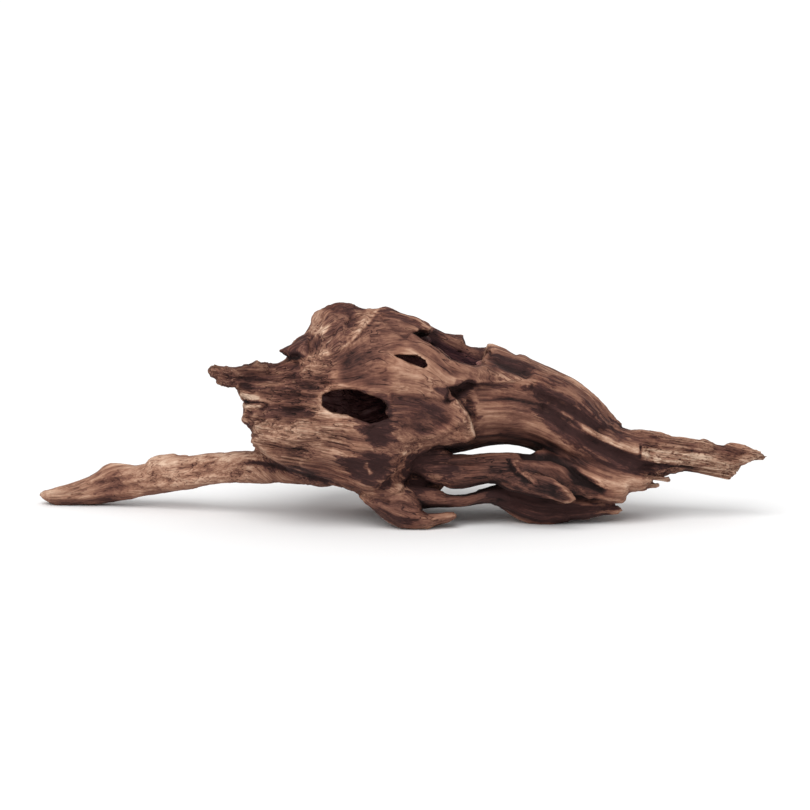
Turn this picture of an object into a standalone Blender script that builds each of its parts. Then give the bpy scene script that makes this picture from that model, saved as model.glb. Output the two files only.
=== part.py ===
"""A hollow driftwood root: a thin branch on the left, a hollow trunk, and a split root on the right.

The outlines are traced in the photograph's own plane, in its pixels, and turned into metres by PIXEL.
In that plane X runs right, Z runs up and Y runs away from the lens. When the shape is whole, it is
tilted by VIEW_TILT, so that it stands on the ground as the lens saw it.
"""
import math

import bmesh
import bpy
import numpy as np
from mathutils import Matrix

# Size of the real piece, tip to tip, and the same span in the photograph
LENGTH = 0.4785
LENGTH_IN_PIXELS = 725
PIXEL = LENGTH / LENGTH_IN_PIXELS
MM = 0.001
VIEW_TILT = math.radians(10)

# The photograph's pixel that is X = 0, Z = 0 before the tilt: under the middle, at the lowest foot
MIDDLE_COLUMN = 405
GROUND_ROW = 529

# The origin's place in the tilted picture: on the ground, under the middle of the box.
# Every foot is trimmed flat at the ground by a block of this size.
ORIGIN = (-1.0 * MM, 14.4 * MM, 6.0 * MM)
GROUND_BLOCK = 1.5

# Fineness of the solid, and the skin that makes up for what the remesh and the smoothing take off
STATION_STEP = 3.5 * MM
RING_POINTS = 24
REMESH_VOXEL = 2.0 * MM
SMOOTH_FACTOR = 0.5
SMOOTH_REPEAT = 2
KEPT_SHARE = 0.06
SKIN = 0.4 * MM
WELD = 0.01 * MM

# Each limb runs along X. "top" and "bottom" are its edges in the photograph, as (column, row).
# "depth" is (column, front, back), how far its front and its back lie from the lens plane in millimetres.
# "power" is how square its cross-section is: 2 is an ellipse, more is boxier.
TRUNK = {
    "top": [
        (238, 376), (256, 370), (277, 364), (286, 359), (290, 352), (298, 341), (306, 334), (311, 324),
        (315, 313), (322, 310), (331, 305), (341, 303), (351, 304), (358, 308), (367, 310), (378, 309),
        (385, 307), (392, 309), (401, 313), (414, 317), (424, 321), (435, 329), (445, 334), (455, 338),
        (465, 343), (475, 347), (483, 349), (486, 343), (494, 345), (506, 350), (516, 356), (525, 355),
        (532, 360), (543, 364), (556, 371), (572, 378), (581, 384), (591, 392), (599, 398), (606, 407),
        (614, 417), (620, 422), (629, 429), (645, 430), (660, 433), (671, 437), (687, 438), (702, 439),
        (716, 444), (731, 443), (744, 446), (752, 449), (761, 453), (766, 456),
    ],
    "bottom": [
        (238, 384), (244, 400), (250, 430), (256, 446), (270, 462), (300, 474), (334, 481), (343, 486),
        (353, 490), (360, 493), (385, 495), (400, 488), (410, 474), (425, 455), (440, 450), (451, 453),
        (464, 451), (478, 447), (491, 445), (505, 444), (518, 445), (531, 448), (536, 451), (545, 458),
        (560, 470), (590, 481), (620, 486), (645, 487), (651, 480), (665, 475), (687, 470), (700, 473),
        (715, 476), (729, 480), (733, 475), (740, 467), (752, 461), (766, 457),
    ],
    "depth": [
        (238, -34, 34), (262, -42, 48), (300, -50, 56), (360, -55, 62), (420, -53, 62), (480, -46, 56),
        (540, -40, 44), (600, -30, 32), (640, -22, 22), (700, -15, 13), (750, -8, 8), (766, -2, 2),
    ],
    "power": 2.6,
}
BRANCH = {
    "top": [
        (41, 494), (45, 490), (55, 487), (72, 482), (89, 477), (97, 472), (103, 466), (110, 463),
        (123, 464), (146, 464), (151, 458), (160, 455), (173, 454), (194, 455), (215, 453), (254, 451),
        (300, 455), (345, 468),
    ],
    "bottom": [
        (41, 495), (43, 498), (49, 502), (59, 506), (72, 507), (93, 505), (114, 502), (131, 499),
        (148, 495), (167, 492), (186, 489), (205, 485), (224, 483), (251, 482), (291, 483), (310, 485),
        (328, 484), (345, 480),
    ],
    "depth": [
        (41, 50, 56), (50, 45, 61), (80, 42, 64), (110, 38, 60), (160, 26, 48), (220, 8, 30),
        (280, -14, 10), (345, -32, -6),
    ],
    "power": 2.3,
}
SPIKE = {
    "top": [(208, 370), (212, 366), (226, 367), (252, 365), (256, 363), (262, 365), (285, 364)],
    "bottom": [
        (208, 372), (212, 376), (218, 383), (226, 386), (237, 388), (245, 400), (262, 405), (285, 405),
    ],
    "depth": [(208, -31, -22), (238, -45, -31), (285, -46, -30)],
    "power": 2.3,
}
REAR_RIM = {
    "top": [
        (395, 316), (414, 318), (424, 322), (435, 329), (445, 334), (455, 335), (463, 335), (465, 346),
        (471, 349), (483, 349), (492, 352), (505, 358),
    ],
    "bottom": [(395, 372), (440, 376), (505, 378)],
    "depth": [(395, 16, 44), (440, 18, 42), (505, 12, 40)],
    "power": 4,
}
BAND = {
    "top": [
        (398, 452), (420, 448), (440, 452), (452, 455), (474, 455), (493, 453), (520, 453), (531, 454),
        (545, 450), (600, 465), (640, 474), (652, 480),
    ],
    "bottom": [
        (398, 470), (415, 474), (425, 478), (437, 487), (451, 490), (462, 489), (474, 487), (487, 485),
        (496, 486), (507, 490), (524, 494), (541, 497), (554, 499), (575, 495), (584, 496), (596, 500),
        (608, 503), (623, 503), (627, 493), (637, 490), (645, 489), (649, 484), (652, 482),
    ],
    "depth": [
        (398, -30, -8), (450, -36, -16), (500, -38, -16), (550, -38, -6), (600, -34, 4), (652, -22, 4),
    ],
    "power": 2.4,
}
FLAP = {
    "top": [(488, 470), (510, 472), (540, 478), (560, 486), (574, 500)],
    "bottom": [
        (488, 483), (496, 485), (507, 488), (524, 492), (541, 495), (554, 500), (570, 504), (574, 501),
    ],
    "depth": [(488, -38, -22), (530, -45, -34), (574, -44, -38)],
    "power": 2.2,
}
BAR = {
    "top": [
        (402, 486), (420, 488), (433, 490), (441, 493), (446, 496), (455, 498), (466, 497), (476, 494),
        (484, 489), (496, 485), (508, 486),
    ],
    "bottom": [
        (402, 500), (414, 506), (424, 508), (441, 507), (455, 506), (469, 504), (482, 501), (492, 501),
        (502, 506), (508, 508),
    ],
    "depth": [(402, -32, -12), (450, -32, -18), (508, -28, -8)],
    "power": 2.3,
}
SLAB = {
    "top": [(478, 491), (496, 485), (520, 486), (560, 488), (600, 496), (612, 505), (621, 509)],
    "bottom": [
        (478, 501), (489, 502), (499, 506), (508, 512), (518, 519), (528, 523), (541, 525), (554, 524),
        (568, 522), (589, 518), (604, 514), (615, 514), (621, 510),
    ],
    "depth": [(478, -28, -12), (510, -24, -4), (550, -24, 0), (600, -20, -4), (621, -14, -8)],
    "power": 2.3,
}
HOOK = {
    "top": [
        (360, 494), (372, 486), (385, 482), (400, 482), (412, 492), (420, 506), (426, 515), (437, 516),
        (447, 515), (455, 516),
    ],
    "bottom": [
        (360, 498), (369, 506), (380, 516), (390, 524), (401, 528), (414, 529), (429, 528), (439, 524),
        (449, 522), (455, 518),
    ],
    "depth": [(360, -36, -16), (400, -42, -18), (430, -38, -20), (455, -33, -24)],
    "power": 2.3,
}
WEB = {
    "top": [(396, 480), (405, 470), (415, 455), (446, 453)],
    "bottom": [(396, 494), (425, 494), (438, 491), (446, 484)],
    "depth": [(396, -24, 10), (425, -20, 8), (446, -16, 0)],
    "power": 3,
}
REAR_ROOT = {
    "top": [(340, 462), (400, 466), (430, 461), (500, 459), (545, 455), (600, 468), (640, 478)],
    "bottom": [
        (340, 478), (376, 491), (386, 506), (396, 511), (408, 511), (419, 501), (438, 482), (470, 478),
        (505, 478), (530, 483), (548, 500), (560, 511), (592, 512), (604, 505), (625, 491), (640, 482),
    ],
    "depth": [(340, 26, 42), (400, 26, 52), (470, 28, 44), (560, 18, 48), (600, 12, 40), (640, 6, 22)],
    "power": 2.3,
}
HOLLOW = {
    "top": [
        (200, 386), (240, 386), (262, 381), (290, 373), (320, 348), (345, 333), (400, 333), (440, 346),
        (480, 364), (520, 386), (556, 412),
    ],
    "bottom": [
        (200, 416), (240, 422), (255, 436), (270, 447), (300, 459), (345, 469), (385, 474), (405, 464),
        (425, 441), (480, 433), (520, 430), (556, 426),
    ],
    "depth": [
        (200, -24, 22), (240, -26, 26), (262, -32, 34), (300, -39, 42), (360, -43, 49), (420, -39, 49),
        (480, -31, 41), (520, -22, 28), (556, -6, 8),
    ],
    "power": 2.4,
}

LIMBS = {
    "branch": BRANCH,
    "band": BAND,
    "web": WEB,
    "flap": FLAP,
    "bar": BAR,
    "slab": SLAB,
    "hook": HOOK,
    "rear_root": REAR_ROOT,
}

# The plate of sound wood on the trunk's front left, outlined in the photograph, and its place in depth
PLATE_OUTLINE = [
    (230, 367), (278, 364), (287, 362), (290, 358), (284, 353), (281, 350), (286, 347), (298, 339),
    (306, 334), (311, 323), (310, 316), (314, 312), (322, 310), (331, 305), (341, 303), (351, 304),
    (358, 308), (378, 309), (385, 307), (401, 313), (424, 321), (434, 328), (419, 332), (412, 334),
    (431, 345), (449, 360), (473, 367), (500, 368), (520, 380), (490, 384), (465, 382), (447, 388),
    (461, 406), (471, 420), (475, 437), (467, 442), (431, 447), (416, 455), (408, 476), (402, 490),
    (384, 497), (360, 494), (334, 481), (310, 476), (290, 470), (268, 455), (259, 447), (253, 441),
    (255, 433), (246, 424), (242, 420), (244, 412), (256, 401), (240, 394),
]
PLATE_PROUD = 8 * MM
PLATE_BACK = -6 * MM

# Outlines of the holes, in the photograph's pixels. The first ones are cut from the front, and the
# ones of the back from behind.
BIG_HOLE = [
    (320, 401), (322, 394), (331, 389), (345, 388), (357, 389), (369, 394), (381, 399), (387, 406),
    (388, 412), (382, 419), (370, 421), (357, 419), (347, 415), (333, 413), (322, 407),
]
SMALL_HOLE = [
    (392, 354), (404, 354), (416, 355), (425, 360), (428, 366), (423, 370), (414, 366), (404, 361),
    (397, 357),
]
WINDOW = [
    (412, 334), (419, 332), (431, 331), (436, 327), (445, 316), (500, 316), (486, 347), (484, 364),
    (473, 367), (463, 365), (449, 360), (439, 352), (431, 345), (420, 340),
]
BACK_HOLE = [
    (428, 404), (436, 396), (450, 391), (468, 390), (484, 394), (496, 401), (500, 409), (490, 416),
    (472, 419), (452, 418), (436, 413),
]
BACK_KNOT_HOLE = [
    (283, 402), (289, 396), (298, 395), (305, 400), (306, 408), (299, 414), (289, 413), (283, 408),
]
MIDDLE_PLANE = 0.0
WINDOW_BACK = 18 * MM
WELL_IN_FRONT = -0.12
WELL_BEHIND = 0.12

WOOD_COLOUR = (0.20, 0.115, 0.066, 1)
WOOD_ROUGHNESS = 0.85


def column_x(columns):
    """Metres right of the middle, from columns of the photograph."""
    return (np.asarray(columns, float) - MIDDLE_COLUMN) * PIXEL


def row_z(rows):
    """Metres above the lowest foot, from rows of the photograph."""
    return (GROUND_ROW - np.asarray(rows, float)) * PIXEL


def link(name, mesh, collection):
    made = bpy.data.objects.new(name, mesh)
    collection.objects.link(made)
    return made


def collection_of(name, helper=False):
    made = bpy.data.collections.new(name)
    bpy.context.scene.collection.children.link(made)
    made.hide_render = helper
    return made


def loft(name, limb, collection, grow=SKIN):
    """A closed skin through superellipse rings between the limb's edges, thickened all round by grow."""
    top, bottom, depth = (np.array(limb[key], float) for key in ("top", "bottom", "depth"))
    first = column_x(max(top[0, 0], bottom[0, 0]))
    last = column_x(min(top[-1, 0], bottom[-1, 0]))
    stations = np.linspace(first, last, max(4, round((last - first) / STATION_STEP)))
    high = np.interp(stations, column_x(top[:, 0]), row_z(top[:, 1])) + grow
    low = np.interp(stations, column_x(bottom[:, 0]), row_z(bottom[:, 1])) - grow
    front = np.interp(stations, column_x(depth[:, 0]), depth[:, 1] * MM) - grow
    back = np.interp(stations, column_x(depth[:, 0]), depth[:, 2] * MM) + grow
    angle = np.linspace(0, 2 * math.pi, RING_POINTS, endpoint=False)
    roundness = 2 / limb["power"]
    across = np.sign(np.cos(angle)) * np.abs(np.cos(angle)) ** roundness
    upward = np.sign(np.sin(angle)) * np.abs(np.sin(angle)) ** roundness
    points = np.empty((len(stations), RING_POINTS, 3))
    points[..., 0] = stations[:, None]
    points[..., 1] = ((front + back) / 2)[:, None] + ((back - front) / 2)[:, None] * across
    points[..., 2] = ((high + low) / 2)[:, None] + ((high - low) / 2)[:, None] * upward
    ring, spot = np.meshgrid(np.arange(len(stations) - 1), np.arange(RING_POINTS), indexing="ij")
    here = ring * RING_POINTS + spot
    beside = ring * RING_POINTS + (spot + 1) % RING_POINTS
    sides = np.stack([here, beside, beside + RING_POINTS, here + RING_POINTS], -1).reshape(-1, 4)
    first_cap = list(range(RING_POINTS))[::-1]
    last_cap = [(len(stations) - 1) * RING_POINTS + k for k in range(RING_POINTS)]
    mesh = bpy.data.meshes.new(name)
    mesh.from_pydata(points.reshape(-1, 3).tolist(), [], [first_cap, last_cap] + sides.tolist())
    mesh.update()
    return link(name, mesh, collection)


def prism(name, outline, front, back, collection):
    """A flat outline in the plane of the photograph, as a block from front to back."""
    flat = bpy.data.curves.new(name, "CURVE")
    flat.dimensions = "2D"
    flat.fill_mode = "BOTH"
    flat.extrude = (back - front) / 2
    spline = flat.splines.new("POLY")
    spline.points.add(len(outline) - 1)
    for point, (column, row) in zip(spline.points, outline):
        point.co = (column_x(column), row_z(row), 0, 1)
    spline.use_cyclic_u = True
    guide = link(name, flat, collection)
    upright = Matrix.Translation((0, (front + back) / 2, 0)) @ Matrix.Rotation(math.radians(90), 4, "X")
    guide.matrix_world = upright
    bpy.context.view_layer.update()
    evaluated = guide.evaluated_get(bpy.context.evaluated_depsgraph_get())
    mesh = bpy.data.meshes.new_from_object(evaluated)
    bpy.data.objects.remove(guide)
    block = link(name, mesh, collection)
    mesh.transform(upright)
    weld(mesh)
    return block


def weld(mesh):
    """Closes the seams that a filled curve leaves between its caps and its sides."""
    work = bmesh.new()
    work.from_mesh(mesh)
    bmesh.ops.remove_doubles(work, verts=work.verts, dist=WELD)
    bmesh.ops.recalc_face_normals(work, faces=work.faces)
    work.to_mesh(mesh)
    work.free()


def boolean(target, name, operation, other):
    step = target.modifiers.new(name, "BOOLEAN")
    step.operation = operation
    step.solver = "EXACT"
    if isinstance(other, bpy.types.Collection):
        step.operand_type = "COLLECTION"
        step.collection = other
    else:
        step.object = other


def ground_block(collection):
    """A block whose top is the ground, z = 0."""
    bpy.ops.mesh.primitive_cube_add(size=GROUND_BLOCK, location=(0, 0, -GROUND_BLOCK / 2))
    block = bpy.context.object
    block.name = "ground_block"
    for holder in block.users_collection:
        holder.objects.unlink(block)
    collection.objects.link(block)
    return block


def wood():
    material = bpy.data.materials.new("driftwood")
    material.use_nodes = True
    shader = material.node_tree.nodes["Principled BSDF"]
    shader.inputs["Base Color"].default_value = WOOD_COLOUR
    shader.inputs["Roughness"].default_value = WOOD_ROUGHNESS
    shader.inputs["Metallic"].default_value = 0
    return material


def main():
    for old in list(bpy.data.objects):
        bpy.data.objects.remove(old)
    parts = collection_of("driftwood")
    limbs = collection_of("limbs", helper=True)
    cutters = collection_of("cutters", helper=True)
    holes = collection_of("holes", helper=True)

    plate = loft("plate", TRUNK, cutters, grow=PLATE_PROUD)
    plate_block = prism("plate_block", PLATE_OUTLINE, WELL_IN_FRONT, PLATE_BACK, cutters)
    boolean(plate, "Outline", "INTERSECT", plate_block)
    spike = loft("spike", SPIKE, cutters)
    hollow = loft("hollow", HOLLOW, cutters, grow=0)
    window = prism("window", WINDOW, WELL_IN_FRONT, WINDOW_BACK, cutters)
    rear_rim = loft("rear_rim", REAR_RIM, cutters)
    prism("big_hole", BIG_HOLE, WELL_IN_FRONT, MIDDLE_PLANE, holes)
    prism("small_hole", SMALL_HOLE, WELL_IN_FRONT, MIDDLE_PLANE, holes)
    prism("back_hole", BACK_HOLE, MIDDLE_PLANE, WELL_BEHIND, holes)
    prism("back_knot_hole", BACK_KNOT_HOLE, MIDDLE_PLANE, WELL_BEHIND, holes)
    for name, limb in LIMBS.items():
        loft(name, limb, limbs)

    driftwood = loft("driftwood", TRUNK, parts)
    boolean(driftwood, "Plate", "UNION", plate)
    boolean(driftwood, "Spike", "UNION", spike)
    boolean(driftwood, "Hollow", "DIFFERENCE", hollow)
    boolean(driftwood, "Window", "DIFFERENCE", window)
    boolean(driftwood, "Rear rim", "UNION", rear_rim)
    boolean(driftwood, "Holes", "DIFFERENCE", holes)
    boolean(driftwood, "Limbs", "UNION", limbs)

    fuse = driftwood.modifiers.new("Fuse", "REMESH")
    fuse.mode = "VOXEL"
    fuse.voxel_size = REMESH_VOXEL
    fuse.use_smooth_shade = True
    soften = driftwood.modifiers.new("Soften", "SMOOTH")
    soften.factor = SMOOTH_FACTOR
    soften.iterations = SMOOTH_REPEAT
    thin = driftwood.modifiers.new("Thin", "DECIMATE")
    thin.ratio = KEPT_SHARE

    helpers = [*limbs.objects, *cutters.objects, *holes.objects]
    for helper in helpers:
        helper.parent = driftwood
    driftwood.rotation_euler = (-VIEW_TILT, 0, 0)
    driftwood.location = [-along for along in ORIGIN]
    ground = ground_block(cutters)
    boolean(driftwood, "Ground", "DIFFERENCE", ground)
    driftwood.data.materials.append(wood())
    driftwood.data.shade_smooth()
    for helper in [*helpers, ground]:
        helper.hide_render = True
        helper.display_type = "WIRE"


main()
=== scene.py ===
"""The looks of a hollow driftwood root: a thin branch, a hollow trunk with holes, and a root split in strands.

The wood is one closed surface round a field of distances, in millimetres, in the plane of the photograph:
x runs right, v runs up in the picture and w runs away from the lens. Lines and outlines are traced in the
photograph's pixels and listed as column,row pairs. The finished surface is tilted by the lens's angle and set
on the ground.
"""
import math

import bpy
import numpy as np
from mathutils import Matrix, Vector


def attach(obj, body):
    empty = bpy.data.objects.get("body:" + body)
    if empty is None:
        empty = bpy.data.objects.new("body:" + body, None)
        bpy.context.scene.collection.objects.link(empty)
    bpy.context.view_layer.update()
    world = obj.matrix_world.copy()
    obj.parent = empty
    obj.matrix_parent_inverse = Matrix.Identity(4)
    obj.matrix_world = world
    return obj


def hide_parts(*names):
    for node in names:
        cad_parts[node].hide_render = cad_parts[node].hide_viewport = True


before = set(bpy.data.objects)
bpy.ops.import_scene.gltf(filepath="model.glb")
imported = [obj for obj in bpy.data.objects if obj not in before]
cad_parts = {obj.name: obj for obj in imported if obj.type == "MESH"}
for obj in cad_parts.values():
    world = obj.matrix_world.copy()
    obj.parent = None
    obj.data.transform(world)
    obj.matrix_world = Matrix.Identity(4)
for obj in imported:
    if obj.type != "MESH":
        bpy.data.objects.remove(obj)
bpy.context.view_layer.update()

METRE = 0.001
# The photograph: a pixel in millimetres, its side and middle, the row where v is 0, and how far the lens looks
# down and how far away it is, in millimetres
PIXEL = 0.66
PICTURE_SIDE = 810
MIDDLE_COLUMN = MIDDLE_ROW = 405.0
GROUND_ROW = 529.0
TILT = math.radians(10)
LENS_AWAY = 4000.0
# The part's origin in the tilted picture: x, the way back and the height, in millimetres
ORIGIN = (-1.0, 14.4, 6.0)

# The block of space that holds the wood, and how finely the field is read there, in millimetres, first at one
# point for each block of BLOCK points a side
SPACE_LOW = np.array([-252.0, -6.0, -86.0])
SPACE_HIGH = np.array([250.0, 162.0, 86.0])
STEP = 1.1
BLOCK = 5
# How near to a limb its distance is worked out, and the distance that stands for all that lies further off
NEARBY = 16.0
FAR = 40.0
MOST_TRIANGLES = 196_000
CELL_CORNERS = np.array([(i, j, k) for i in (0, 1) for j in (0, 1) for k in (0, 1)])


def traced_limb(top, bottom, depth, power, wander=0):
    """A limb of the wood: its upper and lower edge as column,row pairs; its depth as column,front,back, the
    last two in millimetres from the lens plane; how square its cross-section is; and how far, in millimetres,
    its edges stray along x away from the middle of the depth."""
    edges = [np.array(edge, float).reshape(-1, 2) for edge in (top, bottom)]
    return *edges, np.array(depth, float).reshape(-1, 3), power, wander


TRUNK = traced_limb(
    [238,376, 256,370, 277,364, 286,359, 290,352, 298,341, 306,334, 311,324, 315,313, 322,310, 331,305,
     341,303, 351,304, 358,308.5, 367,310.5, 378,309.5, 385,307, 392,309, 401,313.5, 414,317.5, 424,321.5,
     435,329, 445,334, 455,338, 465,343, 475,347, 483,349, 486,343, 494,345, 506,350, 516,356, 519,354.5,
     525,355.5, 532,360, 543,364.5, 556,371, 572,378.5, 581,384, 591,392, 599,398.5, 606,407, 614,417,
     620.5,422.5, 622,427, 629,429.5, 644.5,430.5, 660,433, 671,437, 687,438.5, 699,440.5, 702,439,
     709,440.5, 716,444.5, 724,445.5, 731,443.5, 744,446, 752,449, 761,453, 767,456.5],
    [238,384, 244,400, 250,430, 256,446, 270,462, 300,474, 334,481, 343,486, 353,490, 360,493.5, 385,495,
     400,488, 410,474, 425,455, 440,450, 451,453.5, 464,451, 478,447.5, 491,445, 504.5,444, 518,445,
     531,448.5, 536,451, 545,458, 560,470, 590,481, 620,486, 645,487.5, 651,480, 665,475, 677,472, 687,470,
     700,473, 715,476.5, 729,480, 733.5,475, 740,467, 752,461.5, 763,460.5, 767,457],
    [238,-34,34, 262,-42,48, 300,-50,56, 360,-55,62, 420,-53,62, 480,-46,56, 540,-40,44, 600,-30,32,
     640,-22,22, 700,-15,13, 750,-8,8, 767,-2,2],
    2.6, wander=7,
)
BRANCH = traced_limb(
    [40.5,494, 45,490, 55,487, 72,482.5, 89,477, 97,472, 103,466, 110,463, 123,464.5, 135,465.5, 146,464,
     151,458.5, 160,455.5, 173,454, 177,455.5, 194,455.5, 215,453, 240,451.5, 254,451, 300,455, 345,468],
    [40.5,494.5, 43,498.5, 49,502.5, 59,506, 72,506.5, 93,505, 114,502.5, 131,499.5, 148,495, 167,492,
     186,489, 205,485, 224,483, 251,482.5, 291,483, 310,484.7, 320,485.5, 328,484.5, 345,480],
    [41,50,56, 50,45,61, 80,42,64, 110,38,60, 160,26,48, 220,8,30, 280,-14,10, 345,-32,-6],
    2.3,
)
NOSE = traced_limb(
    [279.5,350.5, 283,348, 290,344.5, 299,339, 308,334],
    [279.5,351, 284,355, 290,358.5, 299,366, 308,370],
    [280,-42,-36, 290,-48,-28, 308,-50,-14],
    2.3,
)
REAR_RIM = traced_limb(
    [395,316, 414,318, 424,322, 435,329, 445,334, 455,335.5, 463,335.5, 465,346, 471,349, 483,349, 492,352,
     505,358],
    [395,372, 440,378, 505,380],
    [395,16,46, 440,18,44, 505,12,42],
    4,
)
BAND = traced_limb(
    [398,451, 420,446, 440,447, 449,451.5, 453,455.2, 474,454.5, 493,453, 506.5,452.7, 520,453.6, 531,454,
     536,452, 545,450, 600,465, 640,474, 652,480],
    [398,470, 415,474, 425,478, 436,484, 442,484.5, 451,489, 462,489.4, 474,487, 487,484, 496,484, 507,490,
     524,494, 541,497, 554,499, 575,495, 584,496, 596,500, 608,503.2, 623,502.8, 627.3,498, 626.4,493,
     637,490.3, 644.5,489.3, 649.3,484.5, 652,482],
    [398,-30,-8, 450,-36,-16, 500,-38,-16, 550,-38,-6, 600,-34,4, 652,-22,4],
    2.4,
)
WEB = traced_limb(
    [396,480, 405,470, 415,455, 446,453],
    [396,494, 425,494, 438,491, 443,487],
    [396,-22,10, 425,-18,8, 443,-14,0],
    3,
)
FLAP = traced_limb(
    [488,468, 510,470, 540,475, 555,481, 562,485, 569,490, 575.5,499],
    [488,481, 501,483, 512,489, 524,491.5, 538,494.5, 554,500, 566,504, 573,502.5, 575.5,499.5],
    [488,-38,-24, 530,-46,-36, 575.5,-47,-42],
    2.2,
)
BAR = traced_limb(
    [402,485, 420,486.5, 433,488, 442,491, 446,494, 455,495, 466,494.6, 476,492.2, 483.5,489, 496,485.5,
     508,486, 530,493],
    [402,500, 414,506, 424.5,508.6, 441,508, 455,507, 469.4,505, 481.6,502, 492,501.2, 502,506, 512,510,
     530,506],
    [402,-32,-12, 450,-32,-18, 508,-27,-8, 530,-20,-12],
    2.3,
)
SLAB = traced_limb(
    [478,491, 496,485.5, 520,486, 560,487, 600,494, 612,502.5, 622,508.5],
    [478,501, 489,501.8, 499,505.7, 508.4,512.4, 518,519.1, 528.5,523, 541,524.6, 554,524, 567.7,521.8,
     569.6,519.8, 588.7,518.3, 604,515, 615.5,514.6, 622,510.5],
    [478,-28,-12, 510,-24,-4, 550,-24,0, 600,-20,-4, 622,-15,-7],
    2.3,
)
HOOK = traced_limb(
    [360,494, 372,486, 385,482, 400,482, 412,491, 420,503, 421.5,509, 426.5,512.5, 437,512.7, 447,511.2,
     453,511.5, 455.5,514],
    [360,498.5, 369.4,506.3, 379.6,516.5, 390,523.7, 401,528.6, 414.3,529.4, 428.6,528.6, 439,524.5,
     449,522.4, 455.5,518.5],
    [360,-36,-16, 400,-42,-18, 430,-38,-20, 455.5,-34,-23],
    2.3,
)
REAR_ROOT = traced_limb(
    [340,462, 400,466, 430,461, 500,459, 545,455, 600,468, 640,478],
    [340,478, 376,491, 386,506, 396,511, 408,511, 419,501, 438,482, 470,478, 505,478, 530,483, 548,500,
     560,511, 592,512, 604,505, 625,491, 640,482],
    [340,26,42, 400,26,52, 470,28,44, 560,18,48, 600,12,40, 640,6,22],
    2.3,
)
KNOB = traced_limb(
    [426,478, 431,474, 437,473.5, 444,478],
    [426,479, 432,483, 439,483, 444,479],
    [426,-30,-14, 444,-30,-14],
    2,
)
LOWER_SPLINTER = traced_limb(
    [638,478, 650,481, 660,485],
    [638,487, 650,487, 660,486],
    [638,-12,2, 660,-7,-4],
    2,
)
UPPER_SPLINTER = traced_limb(
    [650,473, 662,476, 669,478.5],
    [650,479, 662,481, 669,480],
    [650,-14,0, 669,-9,-6],
    2,
)
HOLLOW = traced_limb(
    [200,386, 240,386, 262,381, 290,373, 320,348, 345,333, 400,333, 440,346, 480,364, 520,386, 556,412],
    [200,416, 240,422, 255,436, 270,447, 300,459, 345,469, 385,474, 405,464, 425,441, 480,433, 520,430,
     556,426],
    [200,-24,22, 240,-26,26, 262,-32,34, 300,-39,42, 360,-43,49, 420,-39,49, 480,-31,41, 520,-22,28, 556,-6,8],
    2.4,
)
# Limbs that are joined to the hollow trunk, each with how softly it flows into it, in millimetres
JOINED = [
    (NOSE, 3), (BRANCH, 9), (BAND, 3.5), (WEB, 2), (FLAP, 0.8), (BAR, 2), (SLAB, 2), (HOOK, 2.5),
    (REAR_ROOT, 7), (KNOB, 0.8), (LOWER_SPLINTER, 2), (UPPER_SPLINTER, 2),
]

# Outlines in the plane of the photograph
PLATE = [
    208,371, 212,366.5, 226,367.5, 252,365.5, 256,363, 259,365, 278,364, 287,362.5, 290,358, 284,353.5,
    281,350.5, 286,347, 298,339, 306,334, 309,330, 311,323, 310,316.5, 314,312.5, 322,310, 331,305, 341,303,
    351,304, 358,308, 367,310, 378,309.5, 385,307, 392,309, 401,313.5, 414,317.5, 424,321.5, 434,328,
    430.6,331.8, 419,331.8, 412,334.5, 420.5,340, 430.6,345, 439,352, 449,360.5, 463,365.5, 473.5,367,
    483,364.5, 500,368, 520,380, 490,384, 465,382, 447,388, 454,396, 461,406, 467,412, 471,420, 475.5,437,
    467,442, 458,442.5, 447,445, 438,444, 430.6,447, 424,453, 416,455, 411,466, 408,476, 402,490, 384,497,
    360,494, 343,486, 334,481, 310,476, 290,470, 268,455, 259,447, 253,441, 255,433, 253,426, 246,424,
    242,420.6, 244,412, 245,406, 256,401, 245,399, 240,394, 237,387, 224.5,385.5, 217,383, 218,379, 210,375.7,
]
BIG_HOLE = [
    320,401, 322.5,394, 331,389.5, 345,388.5, 357,389.5, 369.5,394, 381.5,399, 385,402, 388,408, 386,413,
    391,417, 383,422, 370,424, 357,420, 347,415.5, 333,413.5, 322.5,407.5,
]
SMALL_HOLE = [
    391.8,354.3, 404,354, 416,355.3, 425.5,360.4, 428.2,366.5, 423.5,369.6, 414.3,366, 404,361.4, 397,357.3,
]
WINDOW = [
    412,334.5, 419,331.8, 431,331.5, 436,327, 445,316, 500,316, 486,347, 484,364, 473.5,367, 463,365.5,
    449,360.5, 439,352, 430.6,345, 420.5,340,
]
BACK_HOLE = [
    428,404, 436,396, 450,391, 468,390, 484,394, 496,401, 500,409, 490,416, 472,419, 452,418, 436,413,
]
BACK_KNOT_HOLE = [283,402, 289,396, 298,395, 305,400, 306,408, 299,414, 289,413, 283,408]
# How far the plate stands proud of the trunk, and how deep the plate and the window reach, in millimetres
PLATE_PROUD = 8.0
PLATE_BACK = -6.0
WINDOW_BACK = 18.0
# Along x: where the trunk's left end starts to be torn and where it is so in full, where the pointed spike on
# it starts and where it ends inside the trunk, and how long the spike goes on getting thicker
TORN_START = -78.0
TORN_FULL = -96.0
SPIKE_TIP = -130.0
SPIKE_END = -92.0
SPIKE_TAPER = 20.0
# The spike's middle and half its thickness at the tip, and what each millimetre of the taper adds to them
SPIKE_DEPTH = (27, 0.55)
SPIKE_HALF = (4.5, 0.14)

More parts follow.
